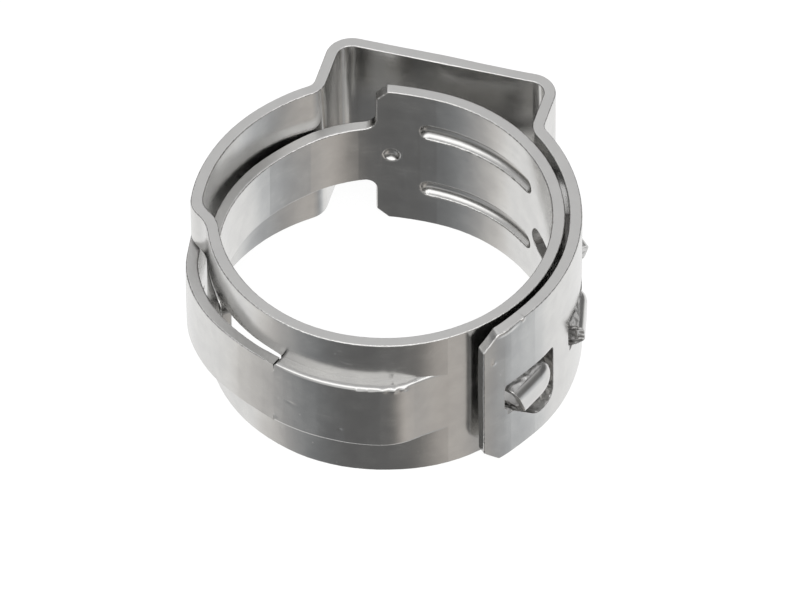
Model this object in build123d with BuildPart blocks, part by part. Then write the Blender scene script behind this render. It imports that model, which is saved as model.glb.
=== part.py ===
from build123d import *
from math import acos, cos, degrees, radians, sin, sqrt, tan
import os

# Stepless ear clamp, formed from one strip of stainless steel.
# Sizes are in millimetres and angles in degrees. The bore axis is Z, the lower rim lies at
# z = 0 and the ear is centred on +Y. Angles are measured from +X, anticlockwise from above.
# The strip starts at the tongue tip, runs clockwise through the inner turn, steps outward
# below the left side of the ear and ends over the inner turn, where its windows hold the hooks.

# Strip
strip_width = 9.0
strip_thickness = 0.6
bore_radius = 8.25
layer_gap = 0.25

# Ear, measured on the bore side of the strip and up from the outer turn
ear_half_width = 5.3
ear_rise = 1.65
ear_corner_radius = 0.75
ear_foot_radius = 1.2
ear_foot_lift = 0.17
foot_lift_start = 12

# Free end of the outer turn
outer_end_angle = -45
outer_end_flare = 0.15
outer_flare_start = -25
outer_end_chamfer = 0.9

# Joggle of the two side strips, from the outer turn down to the bore
joggle_start = 187
joggle_end = 201
joggle_lag = 1.2

# Crown, the raised middle of the band that the tongue slides under
side_strip_width = 2.4
slit_width = 0.1
crown_lift = 0.26
crown_peak_angle = 207
crown_settle_angle = 250
crown_rise = 0.65
crown_fade_start = 284
crown_fade_end = 306
crown_wall = 0.35
crown_edge_radius = 0.25

# Wide end of the inner turn and its tongue
end_lift = 0.22
lift_start = 88
shoulder_angle = 109
shoulder_chamfer = 0.6
lift_peak_angle = 115
lift_end = 150
tongue_width = 3.7
tongue_tip_angle = 219
tongue_fillet = 0.6
tongue_tip_radius = 0.8

# Ribs pressed outward in the wide end
rib_start = 49
rib_end = 90.5
rib_spacing = 4.0
rib_half_width = 0.5
rib_depth = 0.36
rib_wall = 0.5

# Dimple pressed outward near the shoulder
dimple_angle = 104
dimple_radius = 0.42
dimple_depth = 0.24
dimple_wall = 0.4

# Hooks and their windows
hook_count = 3
first_hook_angle = -26.8
hook_pitch = 31.8
hook_height = 3.58
hook_half_width = 1.13
hook_wall = 0.4
hook_stand = 0.58
hook_fall = 7
hook_seat = 0.25
hook_mouth = 1.6
hook_barrel = 2.12
hook_flat = 0.4
mouth_slant = 22
window_width = 3.65
window_bottom = 1.3
window_top = 5.0
window_floor = 1.4
window_side = 3.4
window_corner = 0.2
window_round = 0.85

turn = 360
mid_height = strip_width / 2
face_radius = bore_radius + strip_thickness + layer_gap
inner_outside = bore_radius + strip_thickness
ear_height = face_radius + ear_rise
crown_radius = bore_radius + crown_rise
crown_bottom = side_strip_width + slit_width
crown_top = strip_width - crown_bottom
hook_crest = face_radius + strip_thickness + hook_stand
hook_angles = [first_hook_angle + hook_pitch * place for place in range(hook_count)]


def polar(radius, angle):
    """Plan point at a radius and an angle about the bore axis."""
    return (radius * cos(radians(angle)), radius * sin(radians(angle)))


def along(angle):
    """Direction that runs anticlockwise along the strip at an angle."""
    return (-sin(radians(angle)), cos(radians(angle)))


def arc(radius, start, end):
    """Round stretch of the strip about the bore axis."""
    CenterArc((0, 0), radius, start, end - start)


def ease(start_radius, start, end_radius, end):
    """Stretch that passes smoothly from one radius to another by two tangent arcs."""
    near = Vector(*polar(start_radius, start))
    far = Vector(*polar(end_radius, end))
    near_way = Vector(*along(start))
    far_way = Vector(*along(end))
    chord = far - near
    reach = chord.dot(near_way + far_way)
    spread = 2 * (1 - near_way.dot(far_way))
    handle = (sqrt(reach**2 + spread * chord.dot(chord)) - reach) / spread
    middle = (near + far + (near_way - far_way) * handle) / 2
    first = TangentArc(near, middle, tangent=near_way)
    TangentArc(middle, far, tangent=first % 1)


def outer_line(depth):
    """Outer turn with its ear, at a depth below the strip's bore-side face."""
    radius = face_radius + depth
    half_width = ear_half_width + depth
    left_foot_angle = degrees(acos(-half_width / radius))
    left_foot = polar(radius, left_foot_angle)
    right_foot = (half_width, sqrt((radius + ear_foot_lift) ** 2 - half_width**2))
    end_radius = radius + outer_end_flare
    with BuildLine() as line:
        ease(end_radius, outer_end_angle, radius, outer_flare_start)
        arc(radius, outer_flare_start, foot_lift_start)
        TangentArc(polar(radius, foot_lift_start), right_foot, tangent=along(foot_lift_start))
        Polyline(
            right_foot,
            (half_width, ear_height + depth),
            (-half_width, ear_height + depth),
            left_foot,
        )
        arc(radius, left_foot_angle, joggle_start)
        fillet(line.vertices().sort_by(Axis.Y)[-4:-2], radius=ear_foot_radius - depth)
        fillet(line.vertices().sort_by(Axis.Y)[-2:], radius=ear_corner_radius + depth)
    return line.wire()


def joggle_line(depth):
    """Side strip from the outer turn down to the bore and on to the full-width band."""
    lag = joggle_lag * depth / strip_thickness
    with BuildLine() as line:
        ease(face_radius + depth, joggle_start + lag, bore_radius + depth, joggle_end + lag)
        arc(bore_radius + depth, joggle_end + lag, crown_settle_angle)
        if lag:
            arc(face_radius + depth, joggle_start, joggle_start + lag)
    return line.wire()


def open_crown_line(depth):
    """Raised middle of the band where slits part it from the side strips."""
    peak_radius = face_radius + crown_lift + depth
    with BuildLine() as line:
        ease(face_radius + depth, joggle_start, peak_radius, crown_peak_angle)
        ease(peak_radius, crown_peak_angle, crown_radius + depth, crown_settle_angle)
    return line.wire()


def closed_crown_line(depth):
    """Raised middle of the band past the slits, down to its fade into the inner turn."""
    with BuildLine() as line:
        arc(crown_radius + depth, crown_settle_angle, crown_fade_start)
        ease(crown_radius + depth, crown_fade_start, bore_radius + depth, crown_fade_end)
    return line.wire()


def crown_root_line(depth):
    """Round line below the closed stretch of the crown."""
    with BuildLine() as line:
        arc(bore_radius + depth, crown_settle_angle, crown_fade_end)
    return line.wire()


def end_line(depth):
    """Free end of the inner turn, which stands off a little below the ear, and its tongue."""
    with BuildLine() as line:
        ease(bore_radius + depth, lift_start, bore_radius + end_lift + depth, lift_peak_angle)
        ease(bore_radius + end_lift + depth, lift_peak_angle, bore_radius + depth, lift_end)
        arc(bore_radius + depth, lift_end, tongue_tip_angle)
    return line.wire()


def face_between(near, far):
    """Plan section between two lines that run the same way."""
    with BuildSketch() as section:
        with BuildLine():
            add(near)
            add(far)
            Line(near @ 0, far @ 0)
            Line(near @ 1, far @ 1)
        make_face()
    return section.sketch


def sector_face(inner, outer, start, end):
    """Plan section between two radii and two angles."""
    with BuildSketch() as section:
        with BuildLine():
            arc(inner, start, end)
            arc(outer, start, end)
            Line(polar(inner, start), polar(outer, start))
            Line(polar(inner, end), polar(outer, end))
        make_face()
    return section.sketch


def edge_near(part, radius, angle, height):
    """Edge of a part that lies closest to a point."""
    return part.edges().sort_by_distance((*polar(radius, angle), height))[0]


def pocket(wall, slant, root):
    """Half-round pocket with one open end, inside the hook's surface by a wall."""
    radius = hook_half_width - wall
    crest = hook_crest - wall
    fall = radians(hook_fall)
    crest_plane = Plane(
        (crest, -hook_mouth, hook_height), x_dir=(-sin(fall), cos(fall), 0), z_dir=(cos(fall), sin(fall), 0)
    )
    with BuildPart() as shape:
        with BuildSketch(crest_plane):
            with BuildLine():
                Polyline(
                    (hook_barrel, radius),
                    (0, radius),
                    (2 * radius * tan(radians(slant)), -radius),
                    (hook_barrel, -radius),
                )
                CenterArc((hook_barrel, 0), radius, -90, 180)
            make_face()
        extrude(amount=root - crest)
        top = shape.faces().sort_by(Axis.X)[-1]
        fillet(top.edges().sort_by(Axis.Y)[1:], radius=radius - hook_flat)
    return shape.part


def bead(radius, centre_radius, height, start, end):
    """Round bead that follows the strip between two angles, with round ends."""
    with BuildPart() as shape:
        with BuildSketch(Plane.XZ.rotated((0, 0, start))):
            with Locations((centre_radius, height)):
                Circle(radius)
        revolve(axis=Axis.Z, revolution_arc=end - start)
        with Locations(*[(*polar(centre_radius, angle), height) for angle in (start, end)]):
            Sphere(radius)
    return shape.part


rib_groove_radius = (rib_half_width**2 + rib_depth**2) / (2 * rib_depth)
rib_centre_radius = bore_radius + rib_depth - rib_groove_radius
rib_heights = (mid_height - rib_spacing / 2, mid_height + rib_spacing / 2)
dimple_ball = (dimple_radius**2 + dimple_depth**2) / (2 * dimple_depth)
lift_share = (dimple_angle - lift_start) / (lift_peak_angle - lift_start)
dimple_face = bore_radius + end_lift * lift_share**2 * (3 - 2 * lift_share)
dimple_centre = (*polar(dimple_face + dimple_depth - dimple_ball, dimple_angle), mid_height)

# Closed stretch of the crown, a drawn form with soft shoulders
with BuildPart() as crown_boss:
    with BuildSketch(Plane.XY.offset(side_strip_width)):
        add(face_between(crown_root_line(strip_thickness / 2), closed_crown_line(strip_thickness)))
    extrude(amount=strip_width - 2 * side_strip_width)
    rims = crown_boss.edges().filter_by(Axis.Z, reverse=True)
    rims = rims.filter_by(lambda edge: Vector(edge.center().X, edge.center().Y).length > inner_outside)
    fillet(rims, radius=crown_edge_radius)

# Free end of the inner turn, cut back on both sides to leave the tongue
with BuildPart() as inner_end:
    add(face_between(end_line(0), end_line(strip_thickness)))
    extrude(amount=strip_width)
    tongue_side = (strip_width - tongue_width) / 2
    for base in (0, strip_width - tongue_side):
        with BuildSketch(Plane.XY.offset(base)):
            add(
                sector_face(
                    bore_radius - layer_gap,
                    face_radius + strip_thickness,
                    shoulder_angle,
                    tongue_tip_angle,
                )
            )
        extrude(amount=tongue_side, mode=Mode.SUBTRACT)
    shoulder_radius = bore_radius + end_lift + strip_thickness / 2
    chamfer(
        [edge_near(inner_end, shoulder_radius, shoulder_angle, rim) for rim in (0, strip_width)],
        length=shoulder_chamfer,
    )
    fillet(
        [
            edge_near(inner_end, shoulder_radius, shoulder_angle, side)
            for side in (tongue_side, strip_width - tongue_side)
        ],
        radius=tongue_fillet,
    )
    tip_radius = bore_radius + strip_thickness / 2
    fillet(
        [
            edge_near(inner_end, tip_radius, tongue_tip_angle, side)
            for side in (tongue_side, strip_width - tongue_side)
        ],
        radius=tongue_tip_radius,
    )

# Raised sides of the ribs and the dimple, kept out of the bore
with BuildPart() as pressings:
    for height in rib_heights:
        add(bead(rib_groove_radius + rib_wall, rib_centre_radius, height, rib_start, rib_end))
    with Locations(dimple_centre):
        Sphere(dimple_ball + dimple_wall)
    with Locations((0, 0, mid_height)):
        Cylinder(bore_radius + strip_thickness / 2, strip_width, mode=Mode.SUBTRACT)

# Stretch of the inner turn that carries the hooks, each with its mouth cut back below
with BuildPart() as hooked_turn:
    with BuildSketch():
        add(sector_face(bore_radius, inner_outside, crown_fade_end, turn))
        add(sector_face(bore_radius, inner_outside, 0, lift_start))
    extrude(amount=strip_width)
    for angle in hook_angles:
        add(pocket(0, mouth_slant, inner_outside - hook_seat).rotate(Axis.Z, angle))

with BuildPart() as clamp_band:
    # Outer turn with its ear
    add(face_between(outer_line(0), outer_line(strip_thickness)))
    extrude(amount=strip_width)
    outer_end_radius = face_radius + outer_end_flare + strip_thickness / 2
    chamfer(
        [edge_near(clamp_band, outer_end_radius, outer_end_angle, rim) for rim in (0, strip_width)],
        length=outer_end_chamfer,
    )

    # Windows in the outer turn
    for angle in hook_angles:
        window_plane = Plane(
            (*polar(inner_outside, angle), 0), x_dir=(*along(angle), 0), z_dir=(*polar(1, angle), 0)
        )
        with BuildSketch(window_plane) as window:
            with BuildLine():
                Polyline(
                    (-window_width / 2, window_side),
                    (window_width / 2 - window_floor, window_bottom),
                    (window_width / 2, window_bottom),
                    (window_width / 2, window_top),
                    (-window_width / 2, window_top),
                    close=True,
                )
            make_face()
            fillet(window.vertices().group_by(Axis.Y)[-1], radius=window_corner)
            fillet(window.vertices().group_by(Axis.Y)[0], radius=window_round)
        extrude(amount=2 * strip_thickness, mode=Mode.SUBTRACT)

    # Crown, with the side strips stepped down on either side of it
    with BuildSketch(Plane.XY.offset(crown_bottom)):
        add(face_between(open_crown_line(0), open_crown_line(strip_thickness)))
    extrude(amount=crown_top - crown_bottom)
    for base in (0, strip_width - side_strip_width):
        with BuildSketch(Plane.XY.offset(base)):
            add(face_between(joggle_line(0), joggle_line(strip_thickness)))
        extrude(amount=side_strip_width)

    # Inner turn, below the closed stretch of the crown and on to the wide end
    with BuildSketch():
        add(sector_face(bore_radius, inner_outside, crown_settle_angle, crown_fade_end))
    extrude(amount=strip_width)
    add(hooked_turn)
    add(crown_boss)
    with BuildSketch(Plane.XY.offset(side_strip_width + crown_wall)):
        add(face_between(crown_root_line(-strip_thickness), closed_crown_line(0)))
    extrude(amount=strip_width - 2 * (side_strip_width + crown_wall), mode=Mode.SUBTRACT)

    # Wide end, tongue and the forms pressed outward from the bore
    add(inner_end)
    add(pressings)
    for height in rib_heights:
        add(
            bead(rib_groove_radius, rib_centre_radius, height, rib_start, rib_end),
            mode=Mode.SUBTRACT,
        )
    with Locations(dimple_centre):
        Sphere(dimple_ball, mode=Mode.SUBTRACT)
    for angle in hook_angles:
        add(pocket(hook_wall, 0, bore_radius - strip_thickness).rotate(Axis.Z, angle), mode=Mode.SUBTRACT)

os.makedirs("parts", exist_ok=True)
clamp_band.part.label = "clamp_band"
export_step(clamp_band.part, "parts/clamp_band.step")
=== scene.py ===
import math

import bmesh
import bpy
from mathutils import Matrix, Vector, noise


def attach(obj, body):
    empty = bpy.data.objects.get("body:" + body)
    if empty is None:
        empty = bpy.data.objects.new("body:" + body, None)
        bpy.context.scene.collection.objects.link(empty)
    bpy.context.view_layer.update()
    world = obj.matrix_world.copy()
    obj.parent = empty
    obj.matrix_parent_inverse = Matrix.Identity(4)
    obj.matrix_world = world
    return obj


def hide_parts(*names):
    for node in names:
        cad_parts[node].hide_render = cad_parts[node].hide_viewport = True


MM = 0.001
WHITE = (1, 1, 1, 1)

# Camera: a nearly parallel view, as through a long lens. Angles are in degrees.
CAMERA_TURN = 16.0
CAMERA_TILT = 46.7
CAMERA_ROLL = 0.36
# In metres. A longer lens takes the cameras of the other views past their range of about 1.5 m,
# so this distance stays under 1.35.
CAMERA_DISTANCE = 1.3
CLIP_START = CAMERA_DISTANCE / 10
CLIP_END = CAMERA_DISTANCE * 4
SENSOR_MM = 36.0
# Framing: the picture's middle lies this far right of and above the foot of the clamp's axis
IMAGE_WIDTH = 794
PIXELS_PER_MM = 20.17
AXIS_RIGHT_MM = 0.545
AXIS_UP_MM = 2.266

# Studio that the steel mirrors. Each stop is a turn in degrees, clockwise from straight ahead of
# the camera, then a strength and how warm the light is.
# Low in the studio it is bright ahead and dark behind the camera.
LOW_STOPS = (
    (0, 1.75, 0),
    (32, 1.95, 0),
    (48, 1.75, 0),
    (64, 1.28, 0),
    (80, 0.80, -0.02),
    (96, 0.52, -0.03),
    (112, 0.36, 0),
    (134, 0.68, 0.06),
    (148, 0.40, 0.06),
    (160, 0.19, 0.02),
    (178, 0.17, 0),
    (194, 0.155, 0),
    (210, 0.16, 0),
    (224, 0.23, -0.03),
    (238, 0.34, -0.03),
    (254, 0.56, 0.02),
    (270, 0.86, 0.03),
    (286, 1.36, -0.01),
    (304, 1.50, -0.01),
    (330, 1.60, 0),
    (360, 1.75, 0),
)
# At the horizon it is dark to the left and right, and brightest behind the camera
HORIZON_STOPS = (
    (0, 0.36, 0),
    (40, 0.20, 0),
    (70, 0.14, 0),
    (100, 0.17, 0),
    (140, 0.55, 0.03),
    (180, 0.85, 0),
    (220, 0.70, 0),
    (255, 0.26, 0),
    (290, 0.14, 0),
    (325, 0.20, 0),
    (360, 0.36, 0),
)
# Where the parts of the studio meet, as the upward part of a direction of length 1
LOW_END = -0.45
HORIZON_START = -0.15
HORIZON_END = 0.2
HIGH_START = 0.6
# Overhead the strength changes over a range of the direction's part ahead of the camera
HIGH_BEHIND = 0.45
HIGH_AHEAD = 0.80
HIGH_RANGE = (-0.4, 0.5)
# Soft light panel over the camera, with the ranges over which its edges fade
PANEL_STRENGTH = 1.7
PANEL_FRONT = (-0.45, -0.05)
PANEL_BOTTOM = (0.33, 0.5)
PANEL_TOP = (0.78, 0.93)

# Floor and lamp, in metres and watts. The paper's colour takes the shadow, and its glow, which only
# the camera sees, makes it white.
FLOOR_SIZE = 0.8
PAPER_COLOUR = (0.16, 0.16, 0.16, 1)
PAPER_GLOW = 0.93
LAMP_SIZE = 0.5
LAMP_HEIGHT = 0.7
LAMP_POWER = 0.8

# Finish of the band, in millimetres and degrees. Faces flatter than FLAT_ANGLE are joined, and
# edges sharper than SHARP_ANGLE are rounded.
MERGE_GAP = 0.0001
FLAT_ANGLE = 0.25
SHARP_ANGLE = 33.0
EDGE_ROUND = 0.1
EDGE_ROUND_STEPS = 3
SMALL_EDGE_ROUND = 0.03
# A place on the band: its middle angle, half angle, and z from and to.
# The hooks and the slit's end have short edges, so the rounding is small there.
HOOK_ANGLES = (-26.8, 5.0, 36.8)
HOOK_PLACES = [(angle, 14.0, 0.9, 5.6) for angle in HOOK_ANGLES]
SLIT_END = (249.5, 4.5, 2.0, 7.0)
# Where the crown settles into the strip, the shading outside SMOOTH_RADIUS is blended
SMOOTH_PLACE = (250.0, 14.0, 2.6, 6.4)
SMOOTH_RADIUS = 8.7
SMOOTH_ANGLE = 14.0
SMOOTH_PASSES = 24
# Torn walls of the hooks and windows: outside TORN_RADIUS, and facing outward by less than
# TORN_FACING. A point is torn where its value is above TORN_SURE. The lumps are TORN_LENGTH long
# and TORN_DEPTH high, and lie deeper by TORN_SINK of that.
TORN_RADIUS = 8.75
TORN_FACING = 0.6
TORN_SURE = 0.99
TORN_CUTS = 2
TORN_LENGTH = 0.28
TORN_DEPTH = 0.07
TORN_SINK = 0.3
# Marks: angle, z, half length round the band, half height, how far it stands out, least radius
MARKS = (
    (-72.1, 0.95, 0.07, 0.55, -0.05, 9.0),
    (-75.0, 6.45, 0.22, 0.14, 0.05, 9.2),
    (-71.5, 6.40, 0.16, 0.16, 0.06, 9.2),
    (-68.5, 6.35, 0.20, 0.12, 0.05, 9.0),
    (-30.0, 8.90, 0.10, 0.12, 0.06, 9.5),
    (-36.6, 8.86, 0.60, 0.14, 0.07, 9.5),
    (-41.5, 7.10, 0.10, 0.10, 0.05, 9.5),
    (-112.0, 1.7, 0.12, 0.12, -0.03, 9.0),
    (-104.0, 4.3, 0.25, 0.10, -0.015, 9.0),
    (-88.0, 3.4, 0.10, 0.08, -0.02, 9.0),
    (-60.5, 4.6, 0.08, 0.10, 0.02, 9.0),
)
# Near a mark the faces are cut into cells of this size. A mark ends where the squares of the
# distances from its middle, in half lengths and half heights, add up to MARK_REACH.
MARK_CELL = 0.07
MARK_REACH = 6.0
MARK_RADIUS = 9.5
# Elsewhere they are cut at every CUT_ANGLE round the axis and every CUT_HEIGHT along it
CUT_ANGLE = 1.5
CUT_HEIGHT = 0.45
# Slow waves that rolling and bending leave in the strip: length and height
WAVES = ((3.6, 0.035), (1.2, 0.007))
SLOPE_STEP = 0.02

# Steel: heights and depths are in millimetres, scales per millimetre, and shares from 0 to 1.
# A range gives the values over which a pattern fades in.
EDGE_ATTRIBUTE = "worn_edge"
TORN_ATTRIBUTE = "torn_wall"
DARK_STEEL = (0.62, 0.615, 0.605, 1)
LIGHT_STEEL = (0.68, 0.675, 0.66, 1)
SPECK_STEEL = (0.85, 0.84, 0.82, 1)
CUT_STEEL = (0.62, 0.615, 0.61, 1)
EDGE_STEEL = (0.86, 0.85, 0.84, 1)
SPECK_SHARE = 0.5
CUT_SHARE = 0.6
EDGE_SHARE = 0.5
CUT_FACING = (0.75, 0.95)
NOISE_MIDDLE = 0.5
PLAIN_DETAIL = 2.0
FINE_DETAIL = 3.0
GRAIN_SCALE = (0.22, 0.22, 11.0)
CLOUD_SCALE = 0.9
CLOUD_RANGE = (0.3, 0.7)
GRIT_SCALE = 7.0
WORN_RANGE = (0.3, 0.55)
TORN_SCALE = 3.2
SCRATCH_SCALE = (0.35, 0.35, 2.2)
SCRATCH_WIDTH = 0.006
SCRATCH_RANGE = (0.5, 0.65)
SPECK_SCALE = 1.7
SPECK_SIZE = (0.03, 0.07)
SPECK_CHOICE = (0.6, 0.65)
ANISOTROPY = 0.35
QUARTER_TURN = 0.25
ROUGHNESS = 0.2
CLOUD_ROUGHNESS = 0.10
GRAIN_ROUGHNESS = 0.08
CUT_ROUGHNESS = 0.36
EDGE_ROUGHNESS = 0.04
TORN_ROUGHNESS = 0.1
GRAIN_HEIGHT = 0.0006
SCRATCH_DEPTH = 0.0016
SPECK_DEPTH = 0.006
GRIT_HEIGHT = 0.013
TORN_HEIGHT = 0.03

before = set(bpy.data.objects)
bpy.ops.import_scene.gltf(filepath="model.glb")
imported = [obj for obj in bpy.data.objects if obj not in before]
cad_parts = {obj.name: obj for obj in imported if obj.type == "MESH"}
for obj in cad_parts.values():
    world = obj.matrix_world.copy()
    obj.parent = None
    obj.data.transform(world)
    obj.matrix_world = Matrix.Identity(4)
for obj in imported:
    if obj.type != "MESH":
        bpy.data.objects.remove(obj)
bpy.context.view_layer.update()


def add_camera():
    """Looks at the clamp from the photograph's side and height."""
    turn = math.radians(CAMERA_TURN)
    tilt = math.radians(CAMERA_TILT)
    roll = math.radians(CAMERA_ROLL)
    right = Vector((math.cos(turn), math.sin(turn), 0))
    ahead = Vector((-math.sin(turn), math.cos(turn), 0))
    view = ahead * math.cos(tilt) - Vector((0, 0, math.sin(tilt)))
    up = ahead * math.sin(tilt) + Vector((0, 0, math.cos(tilt)))
    aim = (right * AXIS_RIGHT_MM + up * AXIS_UP_MM) * MM
    rolled_right = right * math.cos(roll) - up * math.sin(roll)
    rolled_up = right * math.sin(roll) + up * math.cos(roll)
    lens = bpy.data.cameras.new("camera")
    lens.sensor_width = SENSOR_MM
    lens.lens = SENSOR_MM * CAMERA_DISTANCE * PIXELS_PER_MM / (IMAGE_WIDTH * MM)
    lens.clip_start = CLIP_START
    lens.clip_end = CLIP_END
    camera = bpy.data.objects.new("camera", lens)
    bpy.context.scene.collection.objects.link(camera)
    axes = Matrix((rolled_right, rolled_up, -view)).transposed()
    camera.matrix_world = Matrix.Translation(aim - view * CAMERA_DISTANCE) @ axes.to_4x4()
    bpy.context.scene.camera = camera


def polar_gap(point, angle):
    """Angle in degrees from a place round the axis."""
    return (math.degrees(math.atan2(point.y, point.x)) - angle + 180) % 360 - 180


def mark_height(point):
    """Nicks and raised burrs on the outside of the band."""
    total = 0.0
    for angle, middle, along, up, height, radius in MARKS:
        if point.xy.length < radius:
            continue
        off = math.radians(polar_gap(point, angle)) * point.xy.length / along
        off = off * off + ((point.z - middle) / up) ** 2
        if off < MARK_REACH:
            total += height * math.exp(-off)
    return total


def wave_height(point):
    """How far the strip's surface stands off its true shape."""
    waves = sum(height * noise.noise(point / length) for length, height in WAVES)
    return waves + mark_height(point)


def wave_slope(point, height):
    """Gradient of the waves' height."""
    steps = (Vector((SLOPE_STEP, 0, 0)), Vector((0, SLOPE_STEP, 0)), Vector((0, 0, SLOPE_STEP)))
    return Vector([(wave_height(point + step) - height) / SLOPE_STEP for step in steps])


def keep_normals(source, mesh):
    """Keeps the CAD surface's own normals on the corners of the working mesh."""
    layer = mesh.loops.layers.float_vector.new("surface_normal")
    corner = source.data.corner_normals
    for face in mesh.faces:
        first = source.data.polygons[face.index].loop_start
        for place, loop in enumerate(face.loops):
            loop[layer] = corner[first + place].vector
    return layer


def is_inside(point, place):
    """Whether a point lies in a place on the band."""
    angle, half, low, high = place
    return abs(polar_gap(point, angle)) < half and low < point.z < high


def is_small_place(edge):
    """Whether an edge lies where the rounding has to be small."""
    middle = (edge.verts[0].co + edge.verts[1].co) / 2
    return any(is_inside(middle, place) for place in HOOK_PLACES + [SLIT_END])


def unique(parts):
    """The parts without repeats, in the order in which they come."""
    return list(dict.fromkeys(parts))


def order_faces(mesh):
    """Orders the faces by their corners, since bevels and cuts leave them in no fixed order."""
    mesh.verts.index_update()
    count = len(mesh.verts)

    def place(face):
        first, second, third = sorted(v.index for v in face.verts)[:3]
        return (first * count + second) * count + third

    mesh.faces.sort(key=place)
    mesh.faces.index_update()


def round_edges(mesh, layer, worn, small):
    """Rounds the sheared edges a little; the new faces blend between the surfaces they join."""
    sharp = [e for e in mesh.edges if e.is_manifold and e.is_convex and is_small_place(e) == small]
    sharp = [e for e in sharp if e.calc_face_angle(0) > math.radians(SHARP_ANGLE)]
    made = bmesh.ops.bevel(
        mesh,
        geom=sharp,
        offset=SMALL_EDGE_ROUND if small else EDGE_ROUND,
        segments=EDGE_ROUND_STEPS,
        profile=0.5,
        affect="EDGES",
        clamp_overlap=False,
    )
    rounded = set(made["faces"])
    mesh.normal_update()
    for vertex in unique(v for f in made["faces"] for v in f.verts):
        kept = [l[layer] for l in vertex.link_loops if l.face not in rounded]
        new = [l for l in vertex.link_loops if l.face in rounded]
        normal = sum(kept, Vector()) if kept else sum((l.face.normal for l in new), Vector())
        for loop in new:
            loop[layer] = normal.normalized()
        vertex[worn] = 0.0 if kept else 1.0


def cut_grid(mesh, height):
    """Cuts the faces round the axis and along it, so that they can follow small waves."""
    planes = []
    for step in range(round(180 / CUT_ANGLE)):
        turn = math.radians(step * CUT_ANGLE)
        planes.append(((0, 0, 0), (math.sin(turn), -math.cos(turn), 0)))
    for step in range(1, round(height / CUT_HEIGHT)):
        planes.append(((0, 0, step * CUT_HEIGHT), (0, 0, 1)))
    for place, normal in planes:
        parts = mesh.verts[:] + mesh.edges[:] + mesh.faces[:]
        bmesh.ops.bisect_plane(mesh, geom=parts, dist=MERGE_GAP, plane_co=place, plane_no=normal)


def mark_torn(mesh, layer, torn):
    """Finds the walls that were torn when the hooks and windows were pressed out."""
    for vertex in mesh.verts:
        if vertex.co.xy.length < TORN_RADIUS:
            continue
        if any(is_inside(vertex.co, place) for place in HOOK_PLACES):
            outward = Vector((vertex.co.x, vertex.co.y, 0)).normalized()
            normal = sum((l[layer] for l in vertex.link_loops), Vector()).normalized()
            vertex[torn] = 1.0 if abs(normal.dot(outward)) < TORN_FACING else 0.0


def tear_walls(mesh, layer, torn):
    """Gives the torn walls a finer mesh and lumps."""
    rough = [e for e in mesh.edges if all(v[torn] > TORN_SURE for v in e.verts)]
    bmesh.ops.subdivide_edges(mesh, edges=rough, cuts=TORN_CUTS, use_grid_fill=True)
    bmesh.ops.triangulate(mesh, faces=mesh.faces)
    walls = [
        v
        for v in mesh.verts
        if v[torn] > TORN_SURE and all(e.other_vert(v)[torn] > TORN_SURE for e in v.link_edges)
    ]
    mesh.normal_update()
    for vertex in walls:
        vertex.co += vertex.normal * TORN_DEPTH * (noise.noise(vertex.co / TORN_LENGTH) - TORN_SINK)
    mesh.normal_update()
    for vertex in walls:
        for loop in vertex.link_loops:
            loop[layer] = vertex.normal


def refine_marks(mesh):
    """Cuts the faces near each mark finely enough to hold it."""
    for angle, middle, along, up, _, radius in MARKS:
        reach = math.sqrt(MARK_REACH)
        near = []
        for face in mesh.faces:
            centre = face.calc_center_median()
            side = math.radians(polar_gap(centre, angle)) * centre.xy.length
            outside = centre.xy.length > radius - MARK_CELL
            if outside and abs(side) < along * reach and abs(centre.z - middle) < up * reach:
                near.append(face)
        parts = near + unique(e for f in near for e in f.edges)
        parts += unique(v for f in near for v in f.verts)
        planes = []
        steps = int(along * reach / MARK_CELL)
        for step in range(-steps, steps + 1):
            turn = math.radians(angle) + step * MARK_CELL / MARK_RADIUS
            planes.append(((0, 0, 0), (math.sin(turn), -math.cos(turn), 0)))
        steps = int(up * reach / MARK_CELL)
        for step in range(-steps, steps + 1):
            planes.append(((0, 0, middle + step * MARK_CELL), (0, 0, 1)))
        for place, normal in planes:
            cut = bmesh.ops.bisect_plane(
                mesh, geom=parts, dist=MERGE_GAP, plane_co=place, plane_no=normal
            )
            parts = cut["geom"]


def blend_normals(mesh, layer):
    """Takes small kinks out of the shading between neighbouring faces."""
    limit = math.cos(math.radians(SMOOTH_ANGLE))
    normals = {}
    for vertex in mesh.verts:
        if vertex.co.xy.length < SMOOTH_RADIUS or not is_inside(vertex.co, SMOOTH_PLACE):
            continue
        corners = [l[layer].normalized() for l in vertex.link_loops]
        mean = sum(corners, Vector()).normalized()
        if corners and all(mean.dot(c) > limit for c in corners):
            normals[vertex] = mean
    near = {v: [e.other_vert(v) for e in v.link_edges] for v in normals}
    near = {v: [o for o in others if o in normals] for v, others in near.items()}
    for _ in range(SMOOTH_PASSES):
        blended = {}
        for vertex, normal in normals.items():
            total = normal.copy()
            for other in near[vertex]:
                if normals[other].dot(normal) > limit:
                    total += normals[other]
            blended[vertex] = total.normalized()
        normals = blended
    for vertex, normal in normals.items():
        for loop in vertex.link_loops:
            loop[layer] = normal


def add_waves(mesh, layer):
    """Moves the surface by its waves and turns its normals to suit."""
    for vertex in mesh.verts:
        normal = sum((l[layer] for l in vertex.link_loops), Vector()).normalized()
        height = wave_height(vertex.co)
        slope = wave_slope(vertex.co, height)
        for loop in vertex.link_loops:
            own = loop[layer].normalized()
            loop[layer] = (own - slope + own * own.dot(slope)).normalized()
        vertex.co += normal * height


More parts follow.
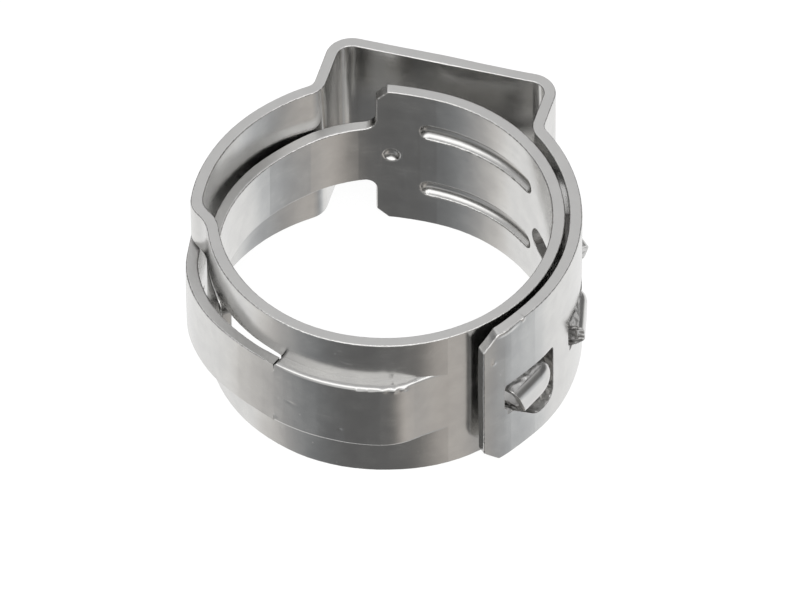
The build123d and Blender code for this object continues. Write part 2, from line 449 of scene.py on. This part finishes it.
def add_finished_band(cad, material):
    """The band with rounded sheared edges and a slightly wavy surface."""
    mesh = bmesh.new()
    mesh.from_mesh(cad.data)
    layer = keep_normals(cad, mesh)
    bmesh.ops.scale(mesh, vec=(1 / MM,) * 3, verts=mesh.verts)
    bmesh.ops.remove_doubles(mesh, verts=mesh.verts, dist=MERGE_GAP)
    bmesh.ops.dissolve_limit(
        mesh, angle_limit=math.radians(FLAT_ANGLE), verts=mesh.verts, edges=mesh.edges
    )
    worn = mesh.verts.layers.float.new(EDGE_ATTRIBUTE)
    torn = mesh.verts.layers.float.new(TORN_ATTRIBUTE)
    round_edges(mesh, layer, worn, small=False)
    round_edges(mesh, layer, worn, small=True)
    cut_grid(mesh, max(v.co.z for v in mesh.verts))
    refine_marks(mesh)
    order_faces(mesh)
    bmesh.ops.triangulate(mesh, faces=mesh.faces)
    blend_normals(mesh, layer)
    mark_torn(mesh, layer, torn)
    add_waves(mesh, layer)
    tear_walls(mesh, layer, torn)
    order_faces(mesh)
    bmesh.ops.scale(mesh, vec=(MM,) * 3, verts=mesh.verts)
    normals = [loop[layer].copy() for face in mesh.faces for loop in face.loops]
    data = bpy.data.meshes.new("band_finish")
    mesh.to_mesh(data)
    mesh.free()
    data.shade_smooth()
    data.normals_split_custom_set(normals)
    data.materials.append(material)
    band = bpy.data.objects.new("band_finish", data)
    bpy.context.scene.collection.objects.link(band)
    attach(band, "root")
    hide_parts("clamp_band")


class Graph:
    """Short way to add and join shader nodes."""

    def __init__(self, tree):
        self.tree = tree

    def node(self, kind, inputs=None, **settings):
        node = self.tree.nodes.new(kind)
        for name, value in settings.items():
            setattr(node, name, value)
        for name, value in (inputs or {}).items():
            self.feed(node.inputs[name], value)
        return node

    def feed(self, socket, value):
        if isinstance(value, bpy.types.NodeSocket):
            self.tree.links.new(value, socket)
        elif socket.type == "RGBA" and isinstance(value, float):
            socket.default_value = (value, value, value, 1)
        else:
            socket.default_value = value

    def math(self, operation, first, second=0.0, third=0.0):
        node = self.node("ShaderNodeMath", operation=operation)
        for socket, value in zip(node.inputs, (first, second, third)):
            self.feed(socket, value)
        return node.outputs[0]

    def dot(self, vector, direction):
        node = self.node("ShaderNodeVectorMath", operation="DOT_PRODUCT")
        self.feed(node.inputs[0], vector)
        self.feed(node.inputs[1], direction)
        return node.outputs["Value"]

    def smooth_step(self, value, low, high):
        node = self.node("ShaderNodeMapRange", interpolation_type="SMOOTHSTEP")
        self.feed(node.inputs["Value"], value)
        self.feed(node.inputs["From Min"], low)
        self.feed(node.inputs["From Max"], high)
        return node.outputs["Result"]

    def scaled(self, vector, factors):
        node = self.node("ShaderNodeVectorMath", operation="MULTIPLY")
        self.feed(node.inputs[0], vector)
        self.feed(node.inputs[1], factors)
        return node.outputs[0]

    def noise(self, vector, scale, detail):
        node = self.node("ShaderNodeTexNoise")
        self.feed(node.inputs["Vector"], vector)
        node.inputs["Scale"].default_value = scale
        node.inputs["Detail"].default_value = detail
        return node.outputs[0]

    def off_middle(self, pattern):
        """A noise that swings round zero."""
        return self.math("SUBTRACT", pattern, NOISE_MIDDLE)

    def scratches(self, vector, cloud):
        """Fine broken lines along the contours of a stretched noise."""
        off_line = self.math("ABSOLUTE", self.off_middle(self.noise(vector, 1.0, 1.0)))
        line = self.math("SUBTRACT", 1.0, self.smooth_step(off_line, 0.0, SCRATCH_WIDTH))
        return self.math("MULTIPLY", line, self.smooth_step(cloud, *SCRATCH_RANGE))

    def specks(self, vector):
        """Scattered tiny pits."""
        cells = self.node("ShaderNodeTexVoronoi")
        self.feed(cells.inputs["Vector"], vector)
        cells.inputs["Scale"].default_value = SPECK_SCALE
        near = self.math("SUBTRACT", 1.0, self.smooth_step(cells.outputs["Distance"], *SPECK_SIZE))
        chosen = self.node("ShaderNodeSeparateColor")
        self.feed(chosen.inputs[0], cells.outputs["Color"])
        return self.math("MULTIPLY", near, self.smooth_step(chosen.outputs[0], *SPECK_CHOICE))

    def round_curve(self, turn, stops):
        """Brightness that changes smoothly with a turn in radians."""
        ramp = self.node("ShaderNodeValToRGB")
        ramp.color_ramp.interpolation = "B_SPLINE"
        elements = ramp.color_ramp.elements
        while len(elements) < len(stops):
            elements.new(0.5)
        for element, (degrees, strength, warmth) in zip(elements, stops):
            element.position = degrees / 360
            element.color = (strength * (1 + warmth), strength, strength * (1 - warmth), 1)
        part = self.math("FRACT", self.math("ADD", self.math("DIVIDE", turn, math.tau), 1.0))
        self.feed(ramp.inputs[0], part)
        return ramp.outputs[0]

    def mix(self, factor, first, second, kind="FLOAT"):
        node = self.node("ShaderNodeMix", data_type=kind)
        sockets = [i for i in node.inputs if i.type == ("VALUE" if kind == "FLOAT" else kind)]
        pair = sockets[-2:]
        self.feed(node.inputs[0], factor)
        self.feed(pair[0], first)
        self.feed(pair[1], second)
        return [o for o in node.outputs if o.type == pair[0].type][0]


def add_world():
    """White to the camera; the metal mirrors a studio that is bright ahead and dark behind."""
    world = bpy.data.worlds.new("studio")
    bpy.context.scene.world = world
    world.use_nodes = True
    tree = world.node_tree
    tree.nodes.clear()
    graph = Graph(tree)
    direction = graph.node("ShaderNodeTexCoord").outputs["Generated"]
    turn = math.radians(CAMERA_TURN)
    ahead = graph.dot(direction, (-math.sin(turn), math.cos(turn), 0))
    right = graph.dot(direction, (math.cos(turn), math.sin(turn), 0))
    height = graph.dot(direction, (0, 0, 1))
    round_turn = graph.math("ARCTAN2", right, ahead)
    low = graph.round_curve(round_turn, LOW_STOPS)
    middle = graph.round_curve(round_turn, HORIZON_STOPS)
    far_share = graph.smooth_step(ahead, *HIGH_RANGE)
    high = graph.mix(far_share, HIGH_BEHIND, HIGH_AHEAD)
    panel_front = graph.math("SUBTRACT", 1.0, graph.smooth_step(ahead, *PANEL_FRONT))
    panel_top = graph.math("SUBTRACT", 1.0, graph.smooth_step(height, *PANEL_TOP))
    panel = graph.math("MULTIPLY", graph.smooth_step(height, *PANEL_BOTTOM), panel_top)
    panel = graph.math("MULTIPLY", panel_front, panel)
    horizon = graph.smooth_step(height, LOW_END, HORIZON_START)
    overhead = graph.smooth_step(height, HORIZON_END, HIGH_START)
    studio = graph.mix(horizon, low, middle, "RGBA")
    studio = graph.mix(overhead, studio, high, "RGBA")
    studio = graph.mix(panel, studio, PANEL_STRENGTH, "RGBA")
    light_path = graph.node("ShaderNodeLightPath")
    shown = graph.mix(light_path.outputs["Is Camera Ray"], studio, WHITE, "RGBA")
    background = graph.node("ShaderNodeBackground")
    graph.feed(background.inputs["Color"], shown)
    output = graph.node("ShaderNodeOutputWorld")
    tree.links.new(background.outputs[0], output.inputs["Surface"])


def add_floor():
    """Pale floor, white to the camera but for a faint shadow; the steel doesn't mirror it."""
    material = bpy.data.materials.new("paper")
    material.use_nodes = True
    tree = material.node_tree
    tree.nodes.clear()
    graph = Graph(tree)
    paper = graph.node("ShaderNodeBsdfDiffuse", {"Color": PAPER_COLOUR})
    glow = graph.node("ShaderNodeEmission")
    seen = graph.node("ShaderNodeLightPath").outputs["Is Camera Ray"]
    graph.feed(glow.inputs["Strength"], graph.math("MULTIPLY", seen, PAPER_GLOW))
    both = graph.node("ShaderNodeAddShader")
    tree.links.new(paper.outputs[0], both.inputs[0])
    tree.links.new(glow.outputs[0], both.inputs[1])
    output = graph.node("ShaderNodeOutputMaterial")
    tree.links.new(both.outputs[0], output.inputs["Surface"])
    half = FLOOR_SIZE / 2
    corners = [(-half, -half, 0), (half, -half, 0), (half, half, 0), (-half, half, 0)]
    sheet = bpy.data.meshes.new("floor")
    sheet.from_pydata(corners, [], [(0, 1, 2, 3)])
    sheet.materials.append(material)
    floor = bpy.data.objects.new("floor", sheet)
    floor.visible_glossy = False
    bpy.context.scene.collection.objects.link(floor)


def add_lamp():
    """One wide weak lamp overhead."""
    light = bpy.data.lights.new("overhead", "AREA")
    light.shape = "DISK"
    light.size = LAMP_SIZE
    light.energy = LAMP_POWER
    lamp = bpy.data.objects.new("overhead", light)
    lamp.location = (0, 0, LAMP_HEIGHT)
    lamp.visible_glossy = False
    bpy.context.scene.collection.objects.link(lamp)


def steel_material():
    """Satin stainless strip: rolling grain, scratches, specks, grainy cut faces and worn edges."""
    material = bpy.data.materials.new("stainless_strip")
    material.use_nodes = True
    graph = Graph(material.node_tree)
    shader = material.node_tree.nodes["Principled BSDF"]
    place = graph.scaled(graph.node("ShaderNodeTexCoord").outputs["Object"], (1 / MM,) * 3)
    facing = graph.dot(graph.node("ShaderNodeNewGeometry").outputs["Normal"], (0, 0, 1))
    cut = graph.smooth_step(graph.math("ABSOLUTE", facing), *CUT_FACING)
    edge = graph.node("ShaderNodeAttribute", attribute_name=EDGE_ATTRIBUTE).outputs["Fac"]
    torn = graph.node("ShaderNodeAttribute", attribute_name=TORN_ATTRIBUTE).outputs["Fac"]
    lumps = graph.noise(place, TORN_SCALE, PLAIN_DETAIL)
    grain = graph.noise(graph.scaled(place, GRAIN_SCALE), 1.0, PLAIN_DETAIL)
    cloud = graph.noise(place, CLOUD_SCALE, FINE_DETAIL)
    grit = graph.noise(place, GRIT_SCALE, FINE_DETAIL)
    scratch = graph.scratches(graph.scaled(place, SCRATCH_SCALE), cloud)
    speck = graph.specks(place)
    worn = graph.math("MULTIPLY", edge, graph.smooth_step(grit, *WORN_RANGE))

    tone = graph.mix(graph.smooth_step(cloud, *CLOUD_RANGE), DARK_STEEL, LIGHT_STEEL, "RGBA")
    tone = graph.mix(graph.math("MULTIPLY", speck, SPECK_SHARE), tone, SPECK_STEEL, "RGBA")
    tone = graph.mix(graph.math("MULTIPLY", cut, CUT_SHARE), tone, CUT_STEEL, "RGBA")
    tone = graph.mix(graph.math("MULTIPLY", worn, EDGE_SHARE), tone, EDGE_STEEL, "RGBA")
    graph.feed(shader.inputs["Base Color"], tone)
    shader.inputs["Metallic"].default_value = 1.0
    shader.inputs["Anisotropic"].default_value = ANISOTROPY
    shader.inputs["Anisotropic Rotation"].default_value = QUARTER_TURN
    tangent = graph.node("ShaderNodeTangent", direction_type="RADIAL", axis="Z")
    graph.feed(shader.inputs["Tangent"], tangent.outputs[0])

    rough = graph.math("MULTIPLY_ADD", graph.off_middle(cloud), CLOUD_ROUGHNESS, ROUGHNESS)
    rough = graph.math("MULTIPLY_ADD", graph.off_middle(grain), GRAIN_ROUGHNESS, rough)
    rough = graph.mix(cut, rough, CUT_ROUGHNESS)
    rough = graph.math("MULTIPLY_ADD", worn, EDGE_ROUGHNESS, rough)
    rough = graph.math("MULTIPLY_ADD", torn, TORN_ROUGHNESS, rough)
    graph.feed(shader.inputs["Roughness"], rough)

    height = graph.math("MULTIPLY", graph.off_middle(grain), GRAIN_HEIGHT)
    height = graph.math("MULTIPLY_ADD", scratch, -SCRATCH_DEPTH, height)
    height = graph.math("MULTIPLY_ADD", speck, -SPECK_DEPTH, height)
    grit_height = graph.math("MULTIPLY", graph.math("ADD", cut, worn), GRIT_HEIGHT)
    height = graph.math("MULTIPLY_ADD", grit, grit_height, height)
    torn_height = graph.math("MULTIPLY", torn, TORN_HEIGHT)
    height = graph.math("MULTIPLY_ADD", lumps, torn_height, height)
    bump = graph.node("ShaderNodeBump")
    bump.inputs["Distance"].default_value = MM
    graph.feed(bump.inputs["Height"], height)
    graph.feed(shader.inputs["Normal"], bump.outputs[0])
    return material


bpy.context.scene.view_settings.view_transform = "Standard"
add_camera()
add_world()
add_floor()
add_lamp()
steel = steel_material()
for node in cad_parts.values():
    for slot in node.material_slots:
        slot.material = steel
add_finished_band(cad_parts["clamp_band"], steel)
